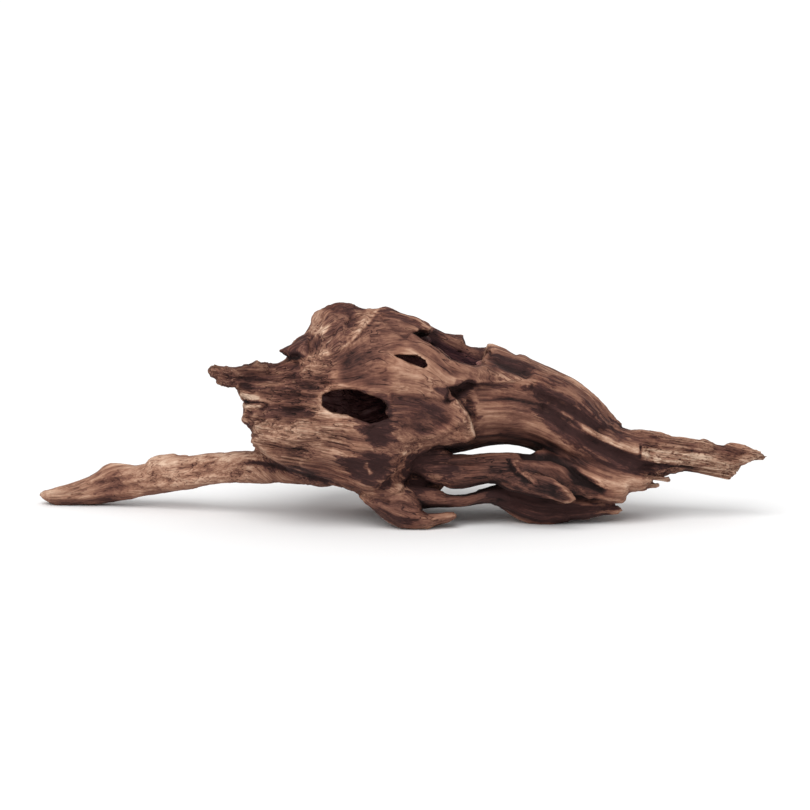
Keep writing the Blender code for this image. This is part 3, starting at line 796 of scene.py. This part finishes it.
def thin_plate(lines):
    """A level over the picture that runs through the given lines: a thin-plate spline, which is a plane plus
    the sum of c r squared log r over the points, solved for the coefficients c, slightly relaxed."""
    points = np.concatenate([traced_points(line) for _, *line in lines])
    levels = np.concatenate([np.full(len(line) // 2, float(level)) for level, *line in lines])
    count = len(points)

    def kernel(x, v):
        squared = (x[:, None] - points[:, 0]) ** 2 + (v[:, None] - points[:, 1]) ** 2 + 1e-9
        return squared * np.log(squared) / 2

    system = np.zeros((count + 3, count + 3))
    system[:count, :count] = kernel(*points.T) + 40 * np.eye(count)
    system[:count, count] = 1
    system[:count, count + 1 :] = points
    system[count:, :count] = system[:count, count:].T
    solved = np.linalg.solve(system, np.concatenate([levels, np.zeros(3)]))

    def values_at(x, v):
        flat_x, flat_v = x.ravel(), v.ravel()
        found = kernel(flat_x, flat_v) @ solved[:count]
        found += solved[count] + solved[count + 1] * flat_x + solved[count + 2] * flat_v
        return found.reshape(x.shape)

    return values_at


def relief_grid(strokes, levels=()):
    """Height of the carved and raised lines: each one's height, fading as (1 - (d / radius) squared) squared,
    and of places that lie higher or lower as a whole, with a steep edge."""

    def values_at(x, v):
        total = np.zeros(x.shape)
        for height, *outline in levels:
            total += height * fade(1.2, -1.2, outline_distance(outline, x, v))
        for radius, height, *line in strokes:
            part = np.clip(line_distance(line, x, v) / (radius * PIXEL), 0, 1)
            total += height * (1 - part * part) ** 2
        return total

    return PictureGrid(values_at)


def patch_grid(patches, lines=(), soft=4.0, join=np.maximum):
    """How strongly a place is marked: the patches and lines with soft edges, joined by their maximum or sum.

    A patch fades over soft millimetres on either side of its outline, and a line over half its radius.
    """

    def values_at(x, v):
        total = np.zeros(x.shape)
        for amount, *outline in patches:
            edge = fade(soft, -soft, outline_distance(outline, x, v))
            total = join(total, amount * edge)
        for radius, amount, *line in lines:
            radius *= PIXEL
            edge = fade(0.5 * radius, -0.5 * radius, line_distance(line, x, v) - radius)
            total = join(total, amount * edge)
        return total

    return PictureGrid(values_at)


plate_grain = PictureGrid(thin_plate(PLATE_GRAIN), 2.0)
body_grain = PictureGrid(thin_plate(BODY_GRAIN), 2.0)
front_relief = relief_grid(FRONT_RELIEF, FRONT_LEVELS)
back_relief = relief_grid(BACK_RELIEF)
# Stains, and painted shade in some recesses and grooves
front_stain_and_shade = patch_grid(FRONT_STAINS_AND_SHADE, FRONT_STAIN_AND_SHADE_LINES, 2.6)
front_clean = patch_grid(FRONT_CLEAN, FRONT_CLEAN_LINES, 1.0)
front_tone = patch_grid(FRONT_TONES, FRONT_TONE_LINES, 4.0, np.add)
front_marks = patch_grid([], FRONT_MARKS, 1.0, np.add)
front_rugged = patch_grid(FRONT_RUGGED, [], 4.0, np.add)
pitted = patch_grid(PITTED)


def along_grain(points):
    """Grain coordinates of points: along the grain, across it over the surface, and away from the lens.

    Its level is the plate's on the front inside the plate's outline, and the body's elsewhere.
    """
    w = points[:, 2]
    x, v = pictured(*points.T)
    plate = fade(1.5, -0.5, plate_grid(x, v)) * fade(2, -6, w)
    return np.stack([x, body_grain(x, v) + plate * (plate_grain(x, v) - body_grain(x, v)), w], 1)


def grain_noise(fibres, length, width, depth, seed):
    """Noise drawn out along the grain: the grain coordinates over a length, a width and a depth."""
    along, level, away = fibres.T
    return lattice_noise(along / length, level / width, away / depth, seed)


def largest_group(count, ends):
    """Which of some numbered things belong to the largest group that the given pairs link together.

    Each takes the lowest number among its neighbours until nothing changes, so that all of a group end with
    the same one.
    """
    body = np.arange(count)
    while True:
        lowest = np.minimum(body[ends[:, 0]], body[ends[:, 1]])
        found = body.copy()
        np.minimum.at(found, ends[:, 0], lowest)
        np.minimum.at(found, ends[:, 1], lowest)
        found = found[found]
        if (found == body).all():
            break
        body = found
    return body == np.bincount(body).argmax()


def largest_body(points, faces):
    """The points and faces of the body with the most points."""
    ends = np.concatenate([np.stack([faces[:, k], faces[:, (k + 1) % 4]], 1) for k in range(4)])
    kept = largest_group(len(points), ends)
    number = np.cumsum(kept) - 1
    return points[kept], number[faces[kept[faces[:, 0]]]]


def without_flaps(points, triangles):
    """The surface that hangs together over edges with just two triangles, without the few loose flaps and
    specks that the thinning leaves on it."""
    ends = np.sort(np.concatenate([triangles[:, [0, 1]], triangles[:, [1, 2]], triangles[:, [2, 0]]]), axis=1)
    owner = np.tile(np.arange(len(triangles)), 3)
    edge = ends[:, 0].astype(np.int64) * len(points) + ends[:, 1]
    order = np.argsort(edge, kind="stable")
    _, first, uses = np.unique(edge[order], return_index=True, return_counts=True)
    first = first[uses == 2]
    neighbours = owner[np.stack([order[first], order[first + 1]], 1)]
    triangles = triangles[largest_group(len(triangles), neighbours)]
    used = np.zeros(len(points), bool)
    used[triangles] = True
    return points[used], (np.cumsum(used) - 1)[triangles]


def normals_of(points, faces):
    """Point normals: the cross product of a face's diagonals, or two sides, added up at its corners."""
    first = points[faces[:, -2]] - points[faces[:, 0]]
    crossed = np.cross(first, points[faces[:, -1]] - points[faces[:, -3]])
    corners, owners = faces.ravel(), np.repeat(crossed, faces.shape[1], 0)
    total = np.stack([np.bincount(corners, owners[:, axis], len(points)) for axis in range(3)], 1)
    return total / (np.linalg.norm(total, axis=1, keepdims=True) + 1e-12)


def front_share(w, x, normals, turned, level):
    """1 on the side towards the lens, by its turn from turned to level, and not deep down or at the back.

    The branch on the left leans away from the lens, so its depth is measured from there.
    """
    return fade(turned, level, -normals[:, 2]) * fade(8, -4, w - 60 * fade(-100, -150, x))


def hollow_share(points):
    """1 on the walls of the hollow and 0 outside, from the distance to the hollow's own form."""
    x, v = pictured(*points.T)
    return fade(5, 1, limb_field(HOLLOW, x, v, points[:, 2]))


def weathered(points, faces):
    """The surface with its undulations, carved lines and ridges.

    The whole root first wanders a few millimetres along w. Then each point moves along its normal by the sum
    of the carved relief, a broad undulation, and ridges along the grain, sharper where the wood is rugged.
    """
    x, v, w = points.T
    sway = 3.2 * lattice_noise(x / 48, v / 34, w / 40, 3) + 1.3 * lattice_noise(x / 17, v / 12, w / 16, 4)
    lift = 0.45 * lattice_noise(x / 15, v / 15, w / 15, 5)
    points = points + np.stack([0.9 * lattice_noise(x / 9, v / 5, w / 9, 6), lift, sway], 1)
    normals = normals_of(points, faces)
    x, v = pictured(*points.T)
    facing = -normals[:, 2]
    outer = 1 - hollow_share(points)
    front = front_share(w, x, normals, -0.1, 0.35)
    back = fade(0.1, 0.5, -facing) * fade(-2, 10, w) * outer
    fibres = along_grain(points)
    rugged = front_rugged(x, v) * front
    height = front * outer * front_relief(x, v) + back * back_relief(x, v)
    broad = grain_noise(fibres, 34, 8, 9, 11)
    height += broad * (0.7 * front + 2.2 * back + 0.9 * (1 - front - back)) * (0.3 + 0.7 * outer)
    ridge = 1 - 2 * np.abs(grain_noise(fibres, 42, 3.6, 4.2, 12))
    fine = 1 - 2 * np.abs(grain_noise(fibres, 30, 2.0, 2.6, 13))
    ledge = fade(-0.07, 0.07, grain_noise(fibres, 38, 6.5, 8, 15)) - 0.5
    height += outer * ledge * (0.5 + 0.8 * rugged + 0.6 * back)
    height += outer * (ridge - 0.5) * (0.4 + 1.2 * rugged + 0.6 * back)
    height += outer * (fine - 0.5) * (0.3 + 0.8 * rugged + 0.4 * back)
    return points + normals * height[:, None]


def thinned(points, faces, spare):
    """The closed surface with triangles collapsed until MOST_TRIANGLES are left, as points and triangles.

    More are collapsed where spare, a share for each point, is high.
    """
    mesh = bpy.data.meshes.new("wood_surface")
    mesh.from_pydata(points.tolist(), [], faces.tolist())
    mesh.update()
    piece = bpy.data.objects.new("wood_surface", mesh)
    bpy.context.scene.collection.objects.link(piece)
    group = piece.vertex_groups.new(name="spare")
    levels = np.round(spare * 8).astype(int)
    for level in range(1, 9):
        group.add(np.flatnonzero(levels == level).tolist(), level / 8, "REPLACE")
    thinner = piece.modifiers.new("thinner", "DECIMATE")
    thinner.vertex_group = group.name
    thinner.ratio = min(1.0, MOST_TRIANGLES / (2 * len(faces)))
    piece.modifiers.new("triangles", "TRIANGULATE")
    shaped = bpy.data.meshes.new_from_object(piece.evaluated_get(bpy.context.evaluated_depsgraph_get()))
    bpy.data.objects.remove(piece)
    bpy.data.meshes.remove(mesh)
    points, triangles = np.empty(len(shaped.vertices) * 3), np.empty(len(shaped.loops), np.int32)
    shaped.vertices.foreach_get("co", points)
    shaped.loops.foreach_get("vertex_index", triangles)
    bpy.data.meshes.remove(shaped)
    return without_flaps(points.reshape(-1, 3), triangles.reshape(-1, 3))


def blurred(values, reach):
    """Values averaged over a box of 2 reach + 1 points in each direction, twice over."""
    for _ in range(2):
        for axis in range(3):
            padded = np.concatenate(
                [np.take(values, [0] * (reach + 1), axis), values, np.take(values, [-1] * reach, axis)], axis
            )
            summed = np.cumsum(padded, axis, dtype=np.float32)
            upper = np.take(summed, range(2 * reach + 1, summed.shape[axis]), axis)
            lower = np.take(summed, range(summed.shape[axis] - 2 * reach - 1), axis)
            values = (upper - lower) / (2 * reach + 1)
    return values


def read_grid(values, points, spacing):
    """Values of a grid at points between its own, blended from the eight around each."""
    spot = np.clip((points - SPACE_LOW) / spacing, 0, np.array(values.shape) - 1.001)
    cell = spot.astype(int)
    part = spot - cell
    total = np.zeros(len(points))
    for corner in CELL_CORNERS:
        weight = np.prod(np.where(corner, part, 1 - part), -1)
        total += weight * values[tuple((cell + corner).T)]
    return total


def crevice(field, points):
    """How deep a point lies between walls, for painted shade in crevices and lighter wear on convex edges:
    the share of wood around it, less the half that a flat has.
    """
    share = blurred(np.clip(0.5 - field[::2, ::2, ::2] / (2 * STEP), 0, 1).astype(np.float32), 2)
    return read_grid(share, points, 2 * STEP) - 0.5


def marks_of(points, triangles, field):
    """What the wood's material reads at each point: the grain's coordinates; how stained, or darkened by
    painted shade, how light, rugged and pitted the wood is; its ridges; its crevices, for painted shade there
    and lighter wear on convex edges; how far it is inside the hollow; and how far it faces down, for painted
    shade underneath.

    Marks traced on the front fade out towards the sides, where noise along the grain takes their place. They
    slip along the grain by such a noise, so that their edges run out in streaks. The hollow's far wall gets
    painted light, and what shows through the window gets painted shade.
    """
    normals = normals_of(points, triangles)
    w = points[:, 2]
    x, v = pictured(*points.T)
    inner = hollow_share(points)
    front = front_share(w, x, normals, -0.25, 0.2)
    fibres = along_grain(points)
    slip = 13 * grain_noise(fibres, 50, 2.6, 3.4, 31) + 9 * grain_noise(fibres, 60, 7, 8, 32)
    far_slip = slip + fade(-38, -10, w) * 34 * grain_noise(fibres, 70, 9, 9, 34)
    drift = 2.5 * lattice_noise(x / 9, v / 6, w / 9, 33)
    # Stains, and in the recesses and grooves so marked, painted shade
    stain = front_stain_and_shade(x + far_slip, v + drift) * (1 - front_clean(x + 0.2 * slip, v))
    tone = front_tone(x + 0.5 * slip, v + 0.5 * drift) + front_marks(x, v)
    # Painted shade: what shows deep through the window is stained darker and its tone evened out
    seen_deep = fade(4, -1, window_grid(x, v)) * fade(6, 12, w) * fade(-0.25, 0.2, -normals[:, 2])
    # Painted shade over the inner wall that the window shows lit on its left
    shaded = fade(0.5, -1.5, window_grid(x, v)) * fade(26, 18, x) * fade(44, 36, w)
    # Painted light: the hollow's far wall is made lighter, with a stain's purple brown
    far_wall_light = inner * fade(5, 30, w) * fade(0, -30, x)
    far_stain_and_shade = fade(-0.1, 0.45, grain_noise(fibres, 60, 16, 20, 21)) * 0.9
    far_stain_and_shade = np.maximum(far_stain_and_shade, np.maximum(0.4 * seen_deep, 0.65 * far_wall_light))
    far_tone = 0.22 * grain_noise(fibres, 70, 14, 18, 22)
    far_tone = far_tone * (1 - seen_deep) + 0.04 * seen_deep + 0.75 * far_wall_light
    far_rugged = fade(-0.1, 0.4, grain_noise(fibres, 80, 22, 26, 23))
    return {
        "fibres": fibres,
        "stain": front * stain * (1 - inner) + (1 - front) * far_stain_and_shade,
        "tone": front * tone * (1 - inner) + (1 - front) * far_tone - 0.4 * shaded,
        "rugged": front * front_rugged(x, v) + (1 - front) * far_rugged,
        "pitted": front * pitted(x, v),
        "ridge": 1 - 2 * np.abs(grain_noise(fibres, 42, 3.6, 4.2, 12)),
        # Painted shade in crevices, and lighter wear on convex edges
        "crevice": crevice(field, points),
        "inner": inner,
        # Painted shade on faces that face down
        "under": fade(0.1, -0.8, normals[:, 1]),
    }


def make_root():
    """The root: field, surface, weathering and thinning, then its marks and its place on the ground.

    A point is placed at x, at the way back v sin(tilt) + w cos(tilt) and at its height over the ground, less
    the origin. This mirrors the surface, so its triangles are turned round to face outwards.
    """
    field = read_field()
    points, faces = largest_body(*surface_of(field))
    moved = weathered(points, faces)
    behind = fade(-0.2, 0.5, normals_of(moved, faces)[:, 2])
    spare = np.clip(0.12 + 0.88 * hollow_share(points) + 0.2 * behind, 0, 1)
    points, triangles = thinned(moved, faces, spare)
    x, v, w = points.T
    back = v * math.sin(TILT) + w * math.cos(TILT) - ORIGIN[1]
    placed = np.stack([x - ORIGIN[0], back, np.maximum(height_over_ground(v, w), 0)], 1) * METRE
    mesh = bpy.data.meshes.new("driftwood_root")
    mesh.from_pydata(placed.tolist(), [], triangles[:, ::-1].tolist())
    for name, values in marks_of(points, triangles, field).items():
        kind, key = ("FLOAT", "value") if values.ndim == 1 else ("FLOAT_VECTOR", "vector")
        attribute = mesh.attributes.new(name, kind, "POINT")
        attribute.data.foreach_set(key, np.ascontiguousarray(values, np.float32).ravel())
    mesh.polygons.foreach_set("use_smooth", np.ones(len(mesh.polygons), bool))
    mesh.update()
    root = bpy.data.objects.new("driftwood_root", mesh)
    bpy.context.scene.collection.objects.link(root)
    return root


class Value:
    """An output socket in a material, with the operators that the shader maths here needs."""

    def __init__(self, nodes, socket):
        self.nodes = nodes
        self.socket = socket

    def __add__(self, other):
        return self.nodes.maths("ADD", self, other)

    def __sub__(self, other):
        return self.nodes.maths("SUBTRACT", self, other)

    def __rsub__(self, other):
        return self.nodes.maths("SUBTRACT", other, self)

    def __mul__(self, other):
        return self.nodes.maths("MULTIPLY", self, other)

    __radd__ = __add__
    __rmul__ = __mul__


class Nodes:
    """A material whose nodes are made by one method, add."""

    def __init__(self, name):
        self.material = bpy.data.materials.new(name)
        self.material.use_nodes = True
        self.tree = self.material.node_tree
        self.tree.nodes.clear()

    def add(self, kind, settings=None, sockets=None):
        """A node of a kind, with its settings first and then the values or links of its sockets."""
        node = self.tree.nodes.new(kind)
        for key, setting in (settings or {}).items():
            if key == "stops":
                ramp = node.color_ramp
                while len(ramp.elements) < len(setting):
                    ramp.elements.new(1.0)
                for element, (place, colour) in zip(ramp.elements, setting):
                    element.position = place
                    element.color = (*colour, 1)
            else:
                setattr(node, key, setting)
        for key, value in (sockets or {}).items():
            if isinstance(value, Value):
                self.tree.links.new(value.socket, node.inputs[key])
            else:
                node.inputs[key].default_value = value
        return node

    def out(self, node, key=0):
        """One output of a node, for the maths."""
        return Value(self, node.outputs[key])

    def maths(self, operation, *values):
        """A Math node's result."""
        return self.out(self.add("ShaderNodeMath", {"operation": operation}, dict(enumerate(values))))

    def attribute(self, name, key="Fac"):
        """One of the marks on the mesh."""
        return self.out(self.add("ShaderNodeAttribute", {"attribute_name": name}), key)

    def stretched(self, vector, factors):
        """A vector times three factors."""
        return self.out(self.add("ShaderNodeVectorMath", {"operation": "MULTIPLY"}, {0: vector, 1: factors}))

    def noise(self, vector, factors, detail, roughness=0.5):
        """Noise, 0 to 1, over a stretched vector."""
        sockets = {"Vector": self.stretched(vector, factors), "Scale": 1.0}
        sockets.update({"Detail": detail, "Roughness": roughness})
        return self.out(self.add("ShaderNodeTexNoise", {}, sockets), "Fac")

    def step(self, low, high, value):
        """0 below low and 1 above high, smooth between."""
        sockets = {"Value": value, "From Min": low, "From Max": high, "To Min": 0.0, "To Max": 1.0}
        return self.out(self.add("ShaderNodeMapRange", {"interpolation_type": "SMOOTHSTEP"}, sockets))

    def mix(self, share, first, second, blend="MIX"):
        """Two colours mixed by a share."""
        settings = {"data_type": "RGBA", "blend_type": blend}
        return self.out(self.add("ShaderNodeMix", settings, {0: share, 6: first, 7: second}), 2)


    def finished(self, colour, roughness, shine, others=()):
        """The material, once its shader has been given these."""
        sockets = {"Base Color": colour, "Roughness": roughness, "Specular IOR Level": shine, **dict(others)}
        shader = self.add("ShaderNodeBsdfPrincipled", {}, sockets)
        self.add("ShaderNodeOutputMaterial", {}, {"Surface": self.out(shader)})
        return self.material


def linear(*shades):
    """A colour given in the screen's shades, 0 to 255, as linear light."""
    shares = [shade / 255 for shade in shades]
    return tuple(s / 12.92 if s <= 0.04045 else ((s + 0.055) / 1.055) ** 2.4 for s in shares)


# The wood's colours, from dark heartwood to bleached fibres, each after its tone
WOOD_TONES = [
    (0.0, linear(28, 16, 15)),
    (0.14, linear(56, 35, 32)),
    (0.28, linear(86, 55, 47)),
    (0.42, linear(115, 78, 65)),
    (0.57, linear(147, 108, 88)),
    (0.74, linear(179, 141, 119)),
    (1.0, linear(215, 184, 160)),
]


def wood_material():
    """Weathered wood.

    A tone runs from dark heartwood to bleached fibres: a level, plus streaks along the grain at three widths,
    plus blotches, plus the pale marks, ridge tops and painted light on the hollow's far wall, less the stains
    and painted shade, the painted shade in crevices (which lightens convex edges as wear), the painted shade
    under downward faces, the hollow's darker walls (partly painted shade), and cracks. A ramp turns the tone
    into colour, and stained places and those with painted shade are turned towards a purple brown. Streaks and
    cracks also make bump.
    """
    nodes = Nodes("weathered_wood")
    fibres = nodes.attribute("fibres", "Vector")
    place = nodes.out(nodes.add("ShaderNodeTexCoord"), "Object")
    stain, rugged, ridge, inner = (nodes.attribute(name) for name in ("stain", "rugged", "ridge", "inner"))

    def streaked(length, width, depth, detail, roughness):
        """Noise about 0, drawn out along the grain: its millimetres along, across and into the wood."""
        return nodes.noise(fibres, (1 / length, 1 / width, 1 / depth), detail, roughness) - 0.5

    def spotted(per_metre, detail, roughness=0.5):
        """Noise, 0 to 1, without a direction."""
        return nodes.noise(place, (per_metre,) * 3, detail, roughness)

    wide = streaked(60, 7, 8, 3, 0.55)
    middle = streaked(30, 2.2, 2.6, 3, 0.6)
    fine = streaked(12, 0.6, 0.7, 2, 0.6)
    blotch = spotted(60, 4, 0.6) - 0.5
    speckle = spotted(420, 3, 0.6) - 0.5

    ragged = 1.9 * middle + 1.3 * fine + 1.3 * blotch + 0.5 * speckle
    unsure = stain * (1.2 - stain) * 3.0 + 0.2
    stained_and_shaded = nodes.step(0.18, 0.82, stain + ragged * unsure)
    line = nodes.maths("ABSOLUTE", streaked(36, 2.2, 2.6, 1, 0.5))
    patchy = nodes.step(0.42, 0.6, spotted(55, 2) + 0.16 * rugged)
    cracks = (1 - nodes.step(0.004, 0.03, line)) * patchy
    pit_cells = {"Vector": nodes.stretched(place, (300, 300, 420)), "Scale": 1.0}
    pits = nodes.out(nodes.add("ShaderNodeTexVoronoi", {}, pit_cells))
    gnawed = (1 - nodes.step(0.16, 0.34, pits)) * nodes.attribute("pitted")

    crisp = 1.05 + 0.7 * stained_and_shaded + 0.8 * rugged
    marked = nodes.attribute("tone") * (0.9 + 1.8 * middle + 1.4 * blotch)
    streaks = (0.36 + 0.3 * rugged) * wide + crisp * (0.55 * middle + 0.5 * fine) + 0.40 * blotch
    tone = 0.45 + marked - 0.38 * stained_and_shaded + streaks * (1 - 0.6 * inner)
    tone = tone + (0.16 + 0.2 * rugged) * speckle + 0.09 * (ridge - 0.5)
    # Painted shade in crevices and lighter wear on convex edges; cracks and gnawed pits are the wood's own
    tone = tone - 0.9 * nodes.attribute("crevice") - 0.26 * cracks - 0.35 * gnawed
    # The hollow's walls darker, partly their own colour and partly painted shade; painted shade on downward
    # faces
    tone = tone - 0.2 * inner - 0.1 * nodes.attribute("under")
    colour = nodes.out(nodes.add("ShaderNodeValToRGB", {"stops": WOOD_TONES}, {0: tone}))
    # Stained places, and those with painted shade, turned towards a purple brown
    colour = nodes.mix(stained_and_shaded * 0.28, colour, (*linear(90, 59, 57), 1))
    red = nodes.step(0.45, 0.75, spotted(38, 3))
    colour = nodes.mix(red * 0.3, colour, (*linear(240, 206, 194), 1), "MULTIPLY")
    # The hollow's walls tinted purple and darker: partly their own colour, partly painted shade
    colour = nodes.mix(inner, colour, (0.97, 0.86, 1.2, 1), "MULTIPLY")

    height = 0.9 * middle + 0.7 * fine + 0.2 * speckle - 0.5 * cracks - 0.6 * gnawed
    height = height * (0.5 + 0.5 * rugged)
    bump = nodes.out(nodes.add("ShaderNodeBump", {}, {"Strength": 1.0, "Distance": 0.0013, "Height": height}))
    return nodes.finished(colour, 0.74 + 0.12 * stained_and_shaded + 0.2 * fine, 0.15, {"Normal": bump})


def make_floor(half=12):
    """Matt white paper: a square of 24 m at the height that the root stands on."""
    mesh = bpy.data.meshes.new("floor")
    corners = [(-half, -half, 0), (half, -half, 0), (half, half, 0), (-half, half, 0)]
    mesh.from_pydata(corners, [], [(0, 1, 2, 3)])
    mesh.materials.append(Nodes("white_paper").finished((0.92, 0.92, 0.92, 1), 0.9, 0.1))
    floor = bpy.data.objects.new("floor", mesh)
    bpy.context.scene.collection.objects.link(floor)
    return floor


def aim(thing, place, target):
    """Puts a light or camera at a place, with its own -Z towards the target."""
    away = place - target
    thing.location = place
    thing.rotation_euler = away.to_track_quat("Z", "Y").to_euler()


def make_sun(name, direction, spread, strength):
    """A broad, even light from one direction, spread over an angle in degrees so that its shadows are soft."""
    data = bpy.data.lights.new(name, "SUN")
    data.angle = math.radians(spread)
    data.energy = strength
    light = bpy.data.objects.new(name, data)
    bpy.context.scene.collection.objects.link(light)
    aim(light, Vector(direction), Vector((0, 0, 0)))


def make_world(strength):
    """Even white light from all sides."""
    world = bpy.data.worlds.new("studio")
    world.use_nodes = True
    background = world.node_tree.nodes["Background"]
    background.inputs["Color"].default_value = (1, 1, 1, 1)
    background.inputs["Strength"].default_value = strength
    bpy.context.scene.world = world


def make_camera(target, film=36):
    """The photograph's view: level, looking down by the tilt, 4 m from the middle of the frame. The lens is as
    long as makes a pixel at that distance PIXEL millimetres wide."""
    away = LENS_AWAY * METRE
    data = bpy.data.cameras.new("photo_view")
    data.sensor_width = film
    data.lens = film * away / (PICTURE_SIDE * PIXEL * METRE)
    data.clip_end = 100
    camera = bpy.data.objects.new("photo_view", data)
    bpy.context.scene.collection.objects.link(camera)
    aim(camera, target - away * Vector((0, math.cos(TILT), -math.sin(TILT))), target)
    bpy.context.scene.camera = camera


root = make_root()
root.data.materials.append(wood_material())
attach(root, "root")
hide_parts("driftwood")
make_floor()

make_sun("overhead", direction=(-0.6, -1.5, 1.9), spread=50, strength=2.1)
make_world(strength=0.68)
bpy.context.scene.view_settings.view_transform = "Standard"
make_camera(target=Vector((0.001, -0.00019, 0.0746)))
